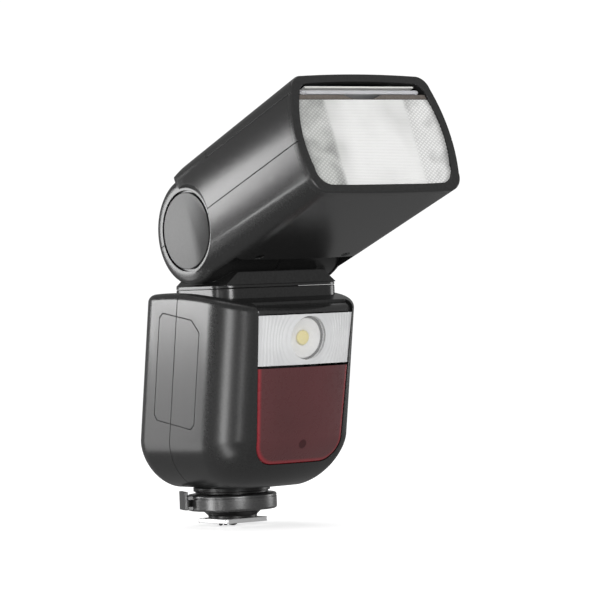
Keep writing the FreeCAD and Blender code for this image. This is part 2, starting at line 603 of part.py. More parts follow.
def lens_prism(f0, f1, inset):
    """The lens opening's outline swept between two distances from the hinge."""
    def wire(f):
        section = head_section(HEAD_FRONT, 2.9 + inset)
        section.translate(V(0, HEAD_FRONT - f, 0))
        return section
    return Part.makeLoft([wire(f0), wire(f1)], True, True)


def make_head_front():
    bezel = head_block(HEAD_FRONT - BEZEL_T, HEAD_FRONT, 0.0)
    bezel = soften(bezel, 0.5, lambda e: e.BoundBox.YMax < -HEAD_FRONT + 0.01)
    bezel = bezel.cut(lens_prism(60, 90, 0.0))
    for z in (PARTING, COVER_LINE):
        nick = 33.0 - 0.12 * z
        bezel = bezel.cut(box((-40, -nick), (-80, -70), (z - 0.15, z + 0.15)))
        bezel = bezel.cut(box((nick, 40), (-80, -70), (z - 0.15, z + 0.15)))
    save("front_bezel", on_head(bezel))
    lens = lens_prism(HEAD_FRONT - 2.3, HEAD_FRONT - 0.5, 0.12).common(box((-50, 50), (-90, 0), (-40, LENS_TOP)))
    save("fresnel_lens", on_head(lens))
    guide = lens_prism(56.0, HEAD_FRONT - 0.7, 0.12).common(box((-50, 50), (-90, 0), (LENS_TOP + 0.1, 17.7)))
    thumb = cyl(THUMB_R, (0, -HEAD_FRONT, THUMB_Z), (0, 1, 0), 6.0)
    save("panel_guide", on_head(guide.cut(thumb)))
    panel = box((-24.2, 24.2), (-76.5, -32.0), (18.1, 19.3))
    panel = panel.fuse(cyl(0.95, (-25.3, -75.2, 18.95), (1, 0, 0), 50.6))
    save("wide_panel", on_head(panel))
    card = box((-23.8, 23.8), (-76.2, -33.0), (20.45, 21.0))
    save("catchlight_card", on_head(card))


REFLECTOR_HALF = 21.0
REFLECTOR_F = (47.0, 68.0)
ARM_X = (22.7, 23.7)
DRIVE_X = 26.6           # guide rail on the left, lead screw on the right
DRIVE_Z = -6.5


def make_zoom():
    f0, f1 = REFLECTOR_F
    shape = [(-f1, 12.0), (-f0 - 12, 10.6), (-f0 - 5, 8.2), (-f0 - 1.5, 5.0), (-f0, 0.0),
             (-f0 - 1.5, -5.0), (-f0 - 5, -8.2), (-f0 - 12, -10.6), (-f1, -12.0)]
    outside = [(-REFLECTOR_HALF, y, z) for y, z in shape]
    trough = prism(outside, (2 * REFLECTOR_HALF, 0, 0))
    inside = [(-REFLECTOR_HALF + 0.7, y if y < -f1 + 0.1 else y - 0.9, z * 0.93) for y, z in shape]
    inside = [(x, y - 0.5 if y < -f1 + 0.1 else y, z) for x, y, z in inside]
    trough = trough.cut(prism(inside, (2 * REFLECTOR_HALF - 1.4, 0, 0)))
    for x in (-REFLECTOR_HALF - 1, REFLECTOR_HALF - 2):
        trough = trough.cut(cyl(2.7, (x, -f0 - 4.4, 0), (1, 0, 0), 3))
    save("zoom_reflector", on_head(trough))
    tube = cyl(2.4, (-REFLECTOR_HALF + 1.0, -f0 - 4.4, 0), (1, 0, 0), 2 * REFLECTOR_HALF - 2.0)
    save("flash_tube", on_head(tube))
    ends = []
    for side in (-1, 1):
        ends.append(cyl(2.5, (side * (REFLECTOR_HALF - 0.9), -f0 - 4.4, 0), (side, 0, 0), 2.4))
    save("tube_caps", on_head(Part.makeCompound(ends)))
    carriage = box((-19, 19), (-f0 + 0.3, -f0 + 2.3), (-6, 6))
    arms = []
    for side in (-1, 1):
        x0, x1 = sorted((side * ARM_X[0], side * ARM_X[1]))
        arms.append(box((x0, x1), (-f0 - 14, -f0 + 2.3), (-8.5, -4.5)))
        x0, x1 = sorted((side * 18.5, side * ARM_X[1]))
        arms.append(box((x0, x1), (-f0 + 0.3, -f0 + 2.3), (-8.5, -4.5)))
        x0, x1 = sorted((side * (ARM_X[1] - 0.5), side * (DRIVE_X + 2)))
        arms.append(box((x0, x1), (-f0 - 14, -f0 - 9), (-8.5, -4.5)))
    for arm in arms:
        carriage = carriage.fuse(arm)
    for side in (-1, 1):
        carriage = carriage.cut(cyl(1.06, (side * DRIVE_X, -74, DRIVE_Z), (0, 1, 0), 50))
    save("zoom_carriage", on_head(carriage))
    rail = cyl(1.0, (-DRIVE_X, -72.0, DRIVE_Z), (0, 1, 0), 46.6)
    save("zoom_rail", on_head(rail))
    thread = cyl(1.0, (DRIVE_X, -72.0, DRIVE_Z), (0, 1, 0), 37.8)
    save("lead_screw", on_head(thread))
    motor = cyl(2.6, (DRIVE_X, -33.8, DRIVE_Z), (0, 1, 0), 8.2)
    save("zoom_motor", on_head(motor))
    board = box((-20, 20), (-26.4, -25.2), (-12, 14))
    save("head_board", on_head(board))


form = body_form(0.0)
make_foot()
make_body(form, body_form(WALL))
make_battery()
make_ports()
make_front_electronics()
make_rear_controls()
make_neck()
make_head_shells()
make_head_front()
make_zoom()
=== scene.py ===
"""Speedlight flash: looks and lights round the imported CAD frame, in metres in the CAD's own frame.

Outlines are worked out in millimetres. The body leans back by LEAN, and the head is tilted up by
TILT about HINGE; leaned() and on_head() take such places to the frame.
"""

import math

import bmesh
import bpy
from mathutils import Matrix, Vector


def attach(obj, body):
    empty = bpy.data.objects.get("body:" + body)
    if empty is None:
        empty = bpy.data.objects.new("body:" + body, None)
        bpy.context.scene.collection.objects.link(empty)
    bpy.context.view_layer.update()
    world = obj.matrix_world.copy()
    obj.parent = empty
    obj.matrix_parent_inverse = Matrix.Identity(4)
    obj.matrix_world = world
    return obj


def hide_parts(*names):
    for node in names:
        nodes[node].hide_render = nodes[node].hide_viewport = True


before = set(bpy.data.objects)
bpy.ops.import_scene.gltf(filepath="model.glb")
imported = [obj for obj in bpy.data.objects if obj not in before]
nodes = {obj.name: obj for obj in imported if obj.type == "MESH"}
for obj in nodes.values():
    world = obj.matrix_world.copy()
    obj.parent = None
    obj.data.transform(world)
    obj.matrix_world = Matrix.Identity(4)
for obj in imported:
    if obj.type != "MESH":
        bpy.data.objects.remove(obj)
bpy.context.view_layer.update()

MM = 0.001
LEAN = math.radians(9.0)
TILT = math.radians(21.0)
LEAN_SLOPE = math.tan(LEAN)
HINGE = Vector((0.0, -19.0, 105.3))


def leaned(x, v, w):
    """Upright body coordinates (mm) to the frame (m)."""
    y = v * math.cos(LEAN) - w * math.sin(LEAN)
    z = v * math.sin(LEAN) + w * math.cos(LEAN)
    return Vector((x, y, z)) * MM


def on_head(x, y, z):
    """Head coordinates (mm, hinge axis at the origin, lamp end at -Y) to the frame (m)."""
    out = y * math.cos(TILT) + z * math.sin(TILT)
    up = -y * math.sin(TILT) + z * math.cos(TILT)
    return (Vector((x, out, up)) + HINGE) * MM


def steps(start, end, count):
    """Evenly spaced values from start to end, count steps apart."""
    return [start + (end - start) * i / count for i in range(count + 1)]


def wave(t):
    """Triangle wave, 0 to 1."""
    t = t % 1.0
    return 1.0 - abs(2.0 * t - 1.0)


# ---- materials ----------------------------------------------------------------------
NOISE_RANGE = (0.3, 0.7)         # a noise texture's values mostly lie between these
NARROW_RANGE = (0.35, 0.65)


class Nodes:
    """A new material, and short ways to add to its node tree."""

    def __init__(self, name):
        self.mat = bpy.data.materials.new(name)
        self.mat.use_nodes = True
        self.tree = self.mat.node_tree
        self.shader = self.tree.nodes["Principled BSDF"]
        self.coords = self.add("ShaderNodeTexCoord").outputs["Object"]

    def add(self, kind, **values):
        node = self.tree.nodes.new(kind)
        for key, value in values.items():
            setattr(node, key, value)
        return node

    def link(self, a, b):
        self.tree.links.new(a, b)

    def feed(self, value, socket):
        """Link an output to a socket, or set the socket to a constant."""
        if isinstance(value, bpy.types.NodeSocket):
            self.link(value, socket)
        else:
            socket.default_value = value

    def set(self, **values):
        """Constants on the shader's own sockets."""
        for key, value in values.items():
            self.shader.inputs[key.replace("_", " ")].default_value = value

    def into(self, output, socket):
        self.link(output, self.shader.inputs[socket])

    def attribute(self, name, output="Fac"):
        return self.add("ShaderNodeAttribute", attribute_name=name).outputs[output]

    def noise(self, scale, detail=2.0, stretch=None):
        node = self.add("ShaderNodeTexNoise")
        node.inputs["Scale"].default_value = scale
        node.inputs["Detail"].default_value = detail
        vector = self.coords
        if stretch:
            mapping = self.add("ShaderNodeMapping")
            mapping.inputs["Scale"].default_value = stretch
            self.link(vector, mapping.inputs["Vector"])
            vector = mapping.outputs["Vector"]
        self.link(vector, node.inputs["Vector"])
        return node.outputs["Fac"]

    def ramp(self, source, stops):
        node = self.add("ShaderNodeValToRGB")
        elements = node.color_ramp.elements
        while len(elements) < len(stops):
            elements.new(0.5)
        for element, (place, colour) in zip(elements, stops):
            element.position = place
            element.color = (*colour, 1.0)
        self.link(source, node.inputs["Fac"])
        return node.outputs["Color"]

    def tones(self, noise, dark, light, between=NOISE_RANGE):
        """A colour that wanders from dark to light with a noise."""
        return self.ramp(noise, list(zip(between, (dark, light))))

    def span(self, source, low, high, a=0.0, b=1.0):
        """Low to high, as the source goes from a to b."""
        node = self.add("ShaderNodeMapRange")
        for key, value in (("From Min", a), ("From Max", b), ("To Min", low), ("To Max", high)):
            node.inputs[key].default_value = value
        self.link(source, node.inputs["Value"])
        return node.outputs["Result"]

    def within(self, distance, limit, fade):
        """1 where the distance is under the limit and 0 past it, with a soft edge."""
        return self.span(distance, 1.0, 0.0, limit - fade, limit + fade)

    def math(self, operation, a, b=0.0):
        node = self.add("ShaderNodeMath", operation=operation)
        self.feed(a, node.inputs[0])
        self.feed(b, node.inputs[1])
        return node.outputs["Value"]

    def mix(self, kind, factor, a, b, **values):
        """FLOAT or RGBA mix of a and b."""
        node = self.add("ShaderNodeMix", data_type=kind, **values)
        for key, value in (("Factor", factor), ("A", a), ("B", b)):
            self.feed(value, node.inputs[key])
        return node.outputs["Result"]

    def across_and_up(self, vector):
        """X and Z of a vector."""
        node = self.add("ShaderNodeSeparateXYZ")
        self.link(vector, node.inputs["Vector"])
        return node.outputs["X"], node.outputs["Z"]

    def rough(self, noise, low, high):
        """Roughness that wanders from low to high with a noise."""
        self.into(self.span(noise, low, high, *NOISE_RANGE), "Roughness")

    def bump(self, height, strength, distance, under=None):
        node = self.add("ShaderNodeBump")
        node.inputs["Strength"].default_value = strength
        node.inputs["Distance"].default_value = distance
        self.link(height, node.inputs["Height"])
        if under:
            self.link(under, node.inputs["Normal"])
        self.into(node.outputs["Normal"], "Normal")

    def rounded(self, radius):
        """Normals that round the edges off."""
        node = self.add("ShaderNodeBevel", samples=4)
        node.inputs["Radius"].default_value = radius
        return node.outputs["Normal"]


ACRYLIC_IOR = 1.49


def grey(level):
    return (level, level, level)


def plastic(name, dark, light, rough, grain=0.035, coat=0.0, speck=2600.0):
    """Moulded plastic or rubber; grain is the bump's strength and speck its scale."""
    n = Nodes(name)
    n.into(n.tones(n.noise(speck * 0.5, 3.0), dark, light, NARROW_RANGE), "Base Color")
    n.rough(n.noise(speck * 2.0, 1.0), rough - 0.01, rough + 0.01)
    n.set(Coat_Weight=coat, Coat_Roughness=0.12)
    n.bump(n.noise(speck), grain, 0.04 * MM, n.rounded(0.3 * MM))
    return n.mat


def metal(name, dark, light, rough, stretch=(1, 1, 40), metallic=1.0, scale=900.0):
    """Metal with streaks of colour, roughness and bump; stretch squeezes them along an axis."""
    n = Nodes(name)
    streaks = n.noise(scale, 3.0, stretch)
    n.into(n.tones(streaks, dark, light), "Base Color")
    n.rough(streaks, rough - 0.05, rough + 0.08)
    n.set(Metallic=metallic)
    n.bump(streaks, 0.1, 0.03 * MM, n.rounded(0.15 * MM))
    return n.mat


def clear(name, tint, rough, transmission=1.0):
    """See-through plastic or glass, a tenth darker in places."""
    n = Nodes(name)
    n.into(n.tones(n.noise(120.0), tuple(c * 0.9 for c in tint), tint), "Base Color")
    n.rough(n.noise(600.0), rough * 0.7, rough * 1.3 + 0.01)
    n.set(Transmission_Weight=transmission, IOR=ACRYLIC_IOR)
    n.bump(n.noise(300.0, 1.0), 0.03, 0.1 * MM)
    return n.mat


# The rear display, seen through its pane: half width, middle and half height.
LCD_HALF = 16.6 * MM
LCD_MIDDLE = 66.6 * MM
LCD_TALL = 9.4 * MM
LCD_FADE = 0.1 * MM
LCD_BORDER = (0.010, 0.011, 0.012, 1.0)


def display_pane():
    """Glossy pane: a grey-green display inside a black border, switched off."""
    n = Nodes("display_pane")
    upright = n.add("ShaderNodeMapping")
    upright.inputs["Rotation"].default_value = (-LEAN, 0.0, 0.0)
    n.link(n.coords, upright.inputs["Vector"])
    x, z = n.across_and_up(upright.outputs["Vector"])
    wide = n.within(n.math("ABSOLUTE", x), LCD_HALF, LCD_FADE)
    tall = n.within(n.math("ABSOLUTE", n.math("SUBTRACT", z, LCD_MIDDLE)), LCD_TALL, LCD_FADE)
    display = n.tones(n.noise(400.0), (0.105, 0.125, 0.112), (0.118, 0.138, 0.124))
    n.into(n.mix("RGBA", n.math("MULTIPLY", wide, tall), LCD_BORDER, display), "Base Color")
    n.rough(n.noise(900.0), 0.07, 0.10)
    n.set(Coat_Weight=1.0, Coat_Roughness=0.05)
    return n.mat


SHELL = plastic("shell_plastic", grey(0.016), grey(0.021), 0.25)
HEAD = plastic("head_plastic", grey(0.016), grey(0.021), 0.26)
CAP = plastic("cap_plastic", grey(0.018), grey(0.023), 0.38)
GLOSS = plastic("gloss_black", grey(0.020), grey(0.026), 0.20, grain=0.02, coat=0.4)
BEZEL = plastic("bezel_plastic", grey(0.020), grey(0.026), 0.24)
SOFT = plastic("soft_rubber", grey(0.016), grey(0.022), 0.6, grain=0.3)
KEY = plastic("key_rubber", grey(0.030), grey(0.040), 0.55, grain=0.2)
STEM = metal("black_metal", grey(0.020), grey(0.035), 0.30, metallic=0.6)
RING = metal("ring_metal", grey(0.10), grey(0.16), 0.30, metallic=0.85)
STEEL = metal("shoe_steel", grey(0.72), grey(0.84), 0.32, stretch=(30, 1, 1), metallic=0.75)
PIN = metal("contact_nickel", grey(0.10), grey(0.16), 0.22, stretch=(1, 1, 1))
DARK_STEEL = metal("screw_steel", grey(0.03), grey(0.06), 0.35, stretch=(1, 1, 1))
SILVER = metal("silvered", grey(0.88), grey(0.95), 0.24, stretch=(1, 20, 20), scale=300.0, metallic=0.7)
CUP = plastic("lamp_cup_white", grey(0.90), grey(0.95), 0.16, grain=0.02, coat=0.6)
WHITE = plastic("white_plastic", (0.80, 0.80, 0.77), (0.88, 0.88, 0.85), 0.35, grain=0.05)
INNER = plastic("inner_grey", grey(0.10), grey(0.14), 0.5)
BOARD = plastic("circuit_board", (0.01, 0.09, 0.035), (0.015, 0.13, 0.05), 0.4, speck=900.0, grain=0.3)
TAUPE = plastic("smoked_strip", (0.115, 0.10, 0.09), (0.15, 0.13, 0.115), 0.22, grain=0.03, coat=0.3)
RED = plastic("red_plastic", (0.065, 0.012, 0.014), (0.085, 0.014, 0.017), 0.2, grain=0.02, coat=0.5)
AMBER = plastic("amber_phosphor", (0.93, 0.78, 0.20), (0.98, 0.86, 0.32), 0.4)
CLEAR = clear("clear_plastic", (0.97, 0.97, 0.98), 0.05)
PULL_OUT = clear("pull_out_plastic", (0.90, 0.90, 0.93), 0.08, transmission=0.45)
QUARTZ = clear("quartz", (0.98, 0.98, 1.0), 0.03)
PANE = display_pane()

CAD_MATERIALS = {
    SHELL: ("body_front_shell", "body_rear_shell", "battery_cover", "swivel_collar", "swivel_yoke",
            "neck_tube", "power_switch"),
    HEAD: ("head_lower_shell", "head_upper_shell", "head_top_cover"),
    CAP: ("hinge_caps",),
    BEZEL: ("front_bezel",),
    GLOSS: ("front_brow", "select_dial", "light_sensor"),
    SOFT: ("port_cover",),
    KEY: ("soft_key_1", "soft_key_2", "soft_key_3", "soft_key_4", "set_button", "mode_button",
          "lamp_button", "wireless_button", "test_button"),
    STEM: ("foot_stem",),
    RING: ("lock_ring",),
    STEEL: ("hot_shoe_plate", "foot_screws", "lock_pin", "usb_socket", "sync_socket",
            "swivel_detent_plate", "retaining_clip", "zoom_rail", "lead_screw"),
    PIN: ("shoe_contacts",),
    DARK_STEEL: ("head_screws", "main_capacitor", "zoom_motor"),
    SILVER: ("zoom_reflector",),
    WHITE: ("catchlight_card", "tube_caps", "zoom_carriage", "lamp_cup"),
    INNER: ("battery_pack", "battery_bay", "port_block", "lcd_module", "assist_lamp"),
    BOARD: ("main_board", "head_board"),
    TAUPE: ("panel_guide",),
    RED: ("red_panel",),
    AMBER: ("lamp_chip",),
    CLEAR: ("wide_panel", "front_window", "fresnel_lens"),
    PANE: ("lcd_window",),
    QUARTZ: ("flash_tube",),
}
WELD = 0.002 * MM
CREASE = math.radians(32.0)


def dress_cad_nodes():
    """Give each CAD node its material, with smooth faces and hard edges."""
    for material, names in CAD_MATERIALS.items():
        for name in names:
            node = nodes[name]
            node.data.materials.clear()
            node.data.materials.append(material)
            node.modifiers.new("weld", "WELD").merge_threshold = WELD
            for face in node.data.polygons:
                face.use_smooth = True
            node.modifiers.new("crease", "EDGE_SPLIT").split_angle = CREASE


# ---- mesh helpers -------------------------------------------------------------------
def closed_mesh(name, points, faces, weld=0.0):
    """Mesh with its faces turned outwards, and points nearer than weld joined."""
    mesh = bpy.data.meshes.new(name)
    mesh.from_pydata(points, [], faces)
    work = bmesh.new()
    work.from_mesh(mesh)
    if weld:
        bmesh.ops.remove_doubles(work, verts=work.verts, dist=weld)
    bmesh.ops.recalc_face_normals(work, faces=work.faces)
    work.to_mesh(mesh)
    work.free()
    return mesh


def finish_piece(name, mesh, materials, body, sharp=35.0):
    """Object that rides on a body; edges over sharp degrees stay hard."""
    for face in mesh.polygons:
        face.use_smooth = True
    mesh.set_sharp_from_angle(angle=math.radians(sharp))
    for material in materials:
        mesh.materials.append(material)
    piece = bpy.data.objects.new(name, mesh)
    bpy.context.scene.collection.objects.link(piece)
    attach(piece, body)
    return piece


def grid(heights, shares, half):
    """Rows of (x, z) places: at each height, shares from -1 to 1 of the half width there."""
    rows = []
    for z in heights:
        reach = half(z)
        rows.append([(reach * share, z) for share in shares])
    return rows


def sheet(name, front, back, paint=None):
    """Closed plate between two equal grids of points; paint(i, j) gives a face's material index."""
    rows, columns = len(front), len(front[0])
    count = rows * columns
    faces = []
    slots = []
    for i in range(rows - 1):
        for j in range(columns - 1):
            a = i * columns + j
            b = count + a
            faces.append((a, a + 1, a + columns + 1, a + columns))
            faces.append((b, b + columns, b + columns + 1, b + 1))
            slots += [paint(i, j) if paint else 0] * 2
    rim = list(range(columns))
    rim += [i * columns + columns - 1 for i in range(1, rows)]
    rim += [(rows - 1) * columns + j for j in range(columns - 2, -1, -1)]
    rim += [i * columns for i in range(rows - 2, 0, -1)]
    for a, b in zip(rim, rim[1:] + rim[:1]):
        faces.append((a, count + a, count + b, b))
        slots.append(0)
    mesh = closed_mesh(name, [p for row in front + back for p in row], faces)
    mesh.polygons.foreach_set("material_index", slots)
    return mesh


def mark(mesh, name, values, kind="FLOAT", field="value"):
    """Point attribute of a sheet: the same values for its front's points and for its back's."""
    mesh.attributes.new(name, kind, "POINT").data.foreach_set(field, values + values)


def turned(name, profile, place, segments=96):
    """Closed solid turned from (radius, along) points; place(x, along, z) puts it in the frame."""
    points = []
    faces = []
    n = len(profile)
    for k in range(segments):
        a = 2.0 * math.pi * k / segments
        points += [place(r * math.cos(a), t, r * math.sin(a)) for r, t in profile]
        m = (k + 1) % segments
        for i in range(n):
            j = (i + 1) % n
            faces.append((k * n + i, k * n + j, m * n + j, m * n + i))
    return closed_mesh(name, points, faces, weld=0.0005 * MM)


DOMED_END = ((0.5, 0.8), (0.9, 0.35))      # past a bar's end, and the width there, in radii


def bar(name, path, radius, place, segments=16):
    """Round bar along path points (mm), with domed ends."""
    path = [Vector(p) for p in path]
    first = (path[1] - path[0]).normalized() * radius
    last = (path[-1] - path[-2]).normalized() * radius
    stations = [(path[0] - first * out, share) for out, share in reversed(DOMED_END)]
    stations += [(p, 1.0) for p in path]
    stations += [(path[-1] + last * out, share) for out, share in DOMED_END]
    end = len(stations) - 1
    points = []
    faces = []
    for k, (p, share) in enumerate(stations):
        along = stations[min(k + 1, end)][0] - stations[max(k - 1, 0)][0]
        u = along.cross(Vector((0, 0, 1))).normalized()
        w = u.cross(along).normalized()
        for i in range(segments):
            a = 2.0 * math.pi * i / segments
            points.append(place(*(p + (u * math.cos(a) + w * math.sin(a)) * radius * share)))
    for k in range(end):
        for i in range(segments):
            j = (i + 1) % segments
            here, there = k * segments, (k + 1) * segments
            faces.append((here + i, here + j, there + j, there + i))
    faces.append(tuple(range(segments)))
    faces.append(tuple(end * segments + i for i in range(segments)))
    return closed_mesh(name, points, faces)


# ---- lens of the head, in head coordinates ------------------------------------------
LENS_FACE = -76.4                # the lens's face and back, in front of the hinge
LENS_BACK = -74.9
LENS_LOW = -15.75
LENS_HIGH = 15.9
LENS_GAP = 0.12
OPENING_HALF = 31.0
OPENING_LOW = -15.8
OPENING_TOP = 22.4
OPENING_CORNER = 6.5
CENTRE = 17.5                    # half width of the ribbed middle
RIB = 0.56
RIB_DEEP = 0.16
ROWS_A_RIB = 4
DIAMOND = (1.8, 1.4)
DIAMOND_DEEP = 0.10


def arc_x(z, a, b, c):
    """x at height z on the circle through three (x, z) points."""
    (x1, z1), (x2, z2), (x3, z3) = a, b, c
    d = 2 * (x1 * (z2 - z3) + x2 * (z3 - z1) + x3 * (z1 - z2))
    s1, s2, s3 = x1 * x1 + z1 * z1, x2 * x2 + z2 * z2, x3 * x3 + z3 * z3
    cx = (s1 * (z2 - z3) + s2 * (z3 - z1) + s3 * (z1 - z2)) / d
    cz = (s1 * (x3 - x2) + s2 * (x1 - x3) + s3 * (x2 - x1)) / d
    r = math.hypot(x1 - cx, z1 - cz)
    return cx + math.sqrt(max(0.0, r * r - (z - cz) ** 2))


def opening_half(z, inset):
    """Half width of the head's opening at height z: bowed sides over rounded lower corners."""
    half = OPENING_HALF - inset
    low = OPENING_LOW + inset
    top = OPENING_TOP - inset
    corner = low + OPENING_CORNER
    shoulder = (0.965 * half, corner)
    if z >= corner:
        return arc_x(z, shoulder, (half, -2.0), (0.90 * half, top - 5.5))
    return arc_x(max(z, low), (0.80 * half, low), (0.93 * half, low + 2.6), shoulder)


def lens_relief(x, z):
    """Level ribs in the middle, and diamonds at the sides."""
    if abs(x) < CENTRE:
        return RIB_DEEP * ((z / RIB) % 1.0)
    u, v = x / DIAMOND[0], z / DIAMOND[1]
    return DIAMOND_DEEP * (wave(u + v) + wave(u - v))


def lens_material():
    """Milky prismatic plastic with painted shade: darker lines along its ribs and diamonds, darker
    sides, soft shadows of what lies behind, and darker blotches.
    """
    n = Nodes("lens_plastic")
    x, z = n.across_and_up(n.attribute("flat", "Vector"))
    u = n.math("MULTIPLY", x, 1.0 / DIAMOND[0])
    v = n.math("MULTIPLY", z, 1.0 / DIAMOND[1])
    rising = n.math("PINGPONG", n.math("ADD", u, v), 0.5)
    falling = n.math("PINGPONG", n.math("SUBTRACT", u, v), 0.5)
    # painted shade: the diamonds and the ribs darken towards their lines
    diamonds = n.span(n.math("MINIMUM", rising, falling), 0.66, 0.98, 0.0, 0.36)
    ribs = n.span(n.math("PINGPONG", z, RIB / 2.0), 0.84, 0.95, 0.0, RIB / 2.0)
    side = n.span(n.math("ABSOLUTE", x), 0.0, 1.0, CENTRE - 0.8, CENTRE + 0.8)
    facet_shade = n.mix("FLOAT", side, ribs, diamonds)
    # painted shade: the lens darkens towards its sides
    rim = n.span(n.attribute("edge"), 0.60, 1.0, 0.0, 2.2)
    # painted shadows of what lies behind, in the diamond zones only
    shadow_patches = n.span(n.noise(70.0, 2.0, (1.0, 0.5, 1.3)), 0.62, 1.0, 0.38, 0.56)
    shadow = n.mix("FLOAT", side, 1.0, shadow_patches)
    shade = n.math("MULTIPLY", n.math("MULTIPLY", facet_shade, rim), shadow)
    # painted shade: darker blotches over the whole lens
    stops = [(0.36, (0.68, 0.69, 0.67)), (0.46, (0.88, 0.88, 0.87)), (0.58, (1.0, 1.0, 0.99))]
    shade_blotches = n.ramp(n.noise(34.0, 2.5, (1.0, 0.45, 0.8)), stops)
    n.into(n.mix("RGBA", 1.0, shade_blotches, shade, blend_type="MULTIPLY"), "Base Color")
    n.rough(n.noise(500.0), 0.14, 0.22)
    n.set(Transmission_Weight=0.08, IOR=ACRYLIC_IOR)
    return n.mat


def build_lens():
    heights = steps(LENS_LOW, LENS_HIGH, round((LENS_HIGH - LENS_LOW) / RIB * ROWS_A_RIB))
    places = grid(heights, steps(-1.0, 1.0, 200), lambda z: opening_half(z, LENS_GAP))
    front = [[on_head(x, LENS_FACE - lens_relief(x, z), z) for x, z in row] for row in places]
    back = [[on_head(x, LENS_BACK, z) for x, z in row] for row in places]
    mesh = sheet("ribbed_lens", front, back)
    flat = [value for row in places for x, z in row for value in (x, 0.0, z)]
    mark(mesh, "flat", flat, "FLOAT_VECTOR", "vector")
    mark(mesh, "edge", [row[-1][0] - abs(x) for row in places for x, z in row])
    piece = finish_piece("ribbed_lens", mesh, [lens_material()], "head", 20.0)
    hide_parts("fresnel_lens")


# ---- the body's bulged front, which the window and the red panel lie in --------------
BODY_BOTTOM = 13.3
ROUND_TOP = 31.0                 # the body's lower edges are rounded up to here
ROUND_POWER = 1.7
BODY_HALF = 29.4
BODY_FRONT = -36.1               # where the front, leaning back, would meet z = 0
SIDE_REACH = 15.0                # how far the rounding comes in, at the side and at the front
FRONT_REACH = 14.0
FACE_HALF = 21.0
FACE_BULGE = 2.8
PANEL_TOP = 74.6
PANEL_TAPER = 0.045
PANEL_GAP = 0.3
PANEL_BACK = 1.9                 # depth of the panels' inner faces behind the body's front
SKIN = 0.02                      # keeps a piece just inside the solid it stands for


def rounding(z, reach):
    """How far the rounded lower edge has come in at height z."""
    if z >= ROUND_TOP:
        return 0.0
    u = min(1.0, (ROUND_TOP - z) / (ROUND_TOP - BODY_BOTTOM))
    return reach * (1.0 - (1.0 - u ** ROUND_POWER) ** (1.0 / ROUND_POWER))


def front_y(x, z):
    """The body's outer front surface, a leaning arc that shrinks with the rounding."""
    share = (BODY_HALF - rounding(z, SIDE_REACH)) / BODY_HALF
    edge, bulge = FACE_HALF * share, FACE_BULGE * share
    r = (edge * edge + bulge * bulge) / (2.0 * bulge)
    front = BODY_FRONT - LEAN_SLOPE * z + rounding(z, FRONT_REACH)
    return front - (math.sqrt(r * r - x * x) - (r - bulge))


def panel_half(z):
    """Half width of the window and of the red panel at height z."""
    return FACE_HALF - PANEL_TAPER * (PANEL_TOP - z) - PANEL_GAP


def behind_front(x, z, depth):
    """Point (m) at a depth (mm) behind the body's front surface."""
    return Vector((x, front_y(x, z) + depth, z)) * MM


# ---- window of the lamp -------------------------------------------------------------
WINDOW_LOW, WINDOW_HIGH = 56.8, 74.5
WINDOW_SINK = 0.35
WINDOW_ROWS, WINDOW_COLUMNS = 120, 276
LAMP_Z = 66.1
LAMP_DOME = 7.2                  # radii of the clear dome and of the ring round it
LAMP_RING = 10.9
DOME_RISE = 0.3078
DOME_EDGE = 0.5
DOME_ALPHA = 0.16
RING_RISE = 0.0836
RING_SINK = 0.038
GROOVE = 1.15
GROOVE_DEEP = 0.0494
RINGS_TO_RIBS = 9.0


def window_relief(x, z):
    """Ribs that run upright at the sides and close into rings round the lamp."""
    r = math.hypot(x, z - LAMP_Z)
    if r < LAMP_DOME:
        return DOME_RISE * math.sqrt(1.0 - (r / LAMP_DOME) ** 2)
    if r < LAMP_RING:
        turn = 2.0 * math.pi * (r - LAMP_DOME) / (LAMP_RING - LAMP_DOME)
        return RING_RISE * math.sin(turn) ** 2 - RING_SINK
    blend = min(1.0, (r - LAMP_RING) / RINGS_TO_RIBS)
    reach = (1.0 - blend) * r + blend * abs(x)
    return GROOVE_DEEP * (math.cos(2.0 * math.pi * reach / GROOVE) - 1.0)


def frosted():
    """Clear plastic that its ribs make look frosted."""
    n = Nodes("frosted_window")
    n.into(n.tones(n.noise(60.0), (0.74, 0.745, 0.75), (0.86, 0.865, 0.87), NARROW_RANGE), "Base Color")
    n.rough(n.noise(500.0), 0.14, 0.22)
    n.set(Transmission_Weight=0.12, IOR=ACRYLIC_IOR)
    return n.mat


def dome():
    """Smooth plastic that is mostly see-through."""
    material = plastic("dome_plastic", grey(0.93), grey(0.97), 0.07, grain=0.01)
    material.node_tree.nodes["Principled BSDF"].inputs["Alpha"].default_value = DOME_ALPHA
    material.surface_render_method = "BLENDED"
    return material


def build_window():
    heights = steps(WINDOW_LOW, WINDOW_HIGH, WINDOW_ROWS)
    places = grid(heights, steps(-1.0, 1.0, WINDOW_COLUMNS), lambda z: panel_half(z) - SKIN)
    front = [[behind_front(x, z, WINDOW_SINK - window_relief(x, z)) for x, z in row] for row in places]
    back = [[behind_front(x, z, PANEL_BACK) for x, z in row] for row in places]

    def paint(i, j):
        """The dome's material inside the dome, and the frosted one outside it."""
        z = WINDOW_LOW + (WINDOW_HIGH - WINDOW_LOW) * (i + 0.5) / WINDOW_ROWS
        x = panel_half(z) * (2.0 * (j + 0.5) / WINDOW_COLUMNS - 1.0)
        return 1 if math.hypot(x, z - LAMP_Z) < LAMP_DOME + DOME_EDGE else 0

    mesh = sheet("ribbed_window", front, back, paint)
    piece = finish_piece("ribbed_window", mesh, [frosted(), dome()], "flash_body", 40.0)
    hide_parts("front_window")


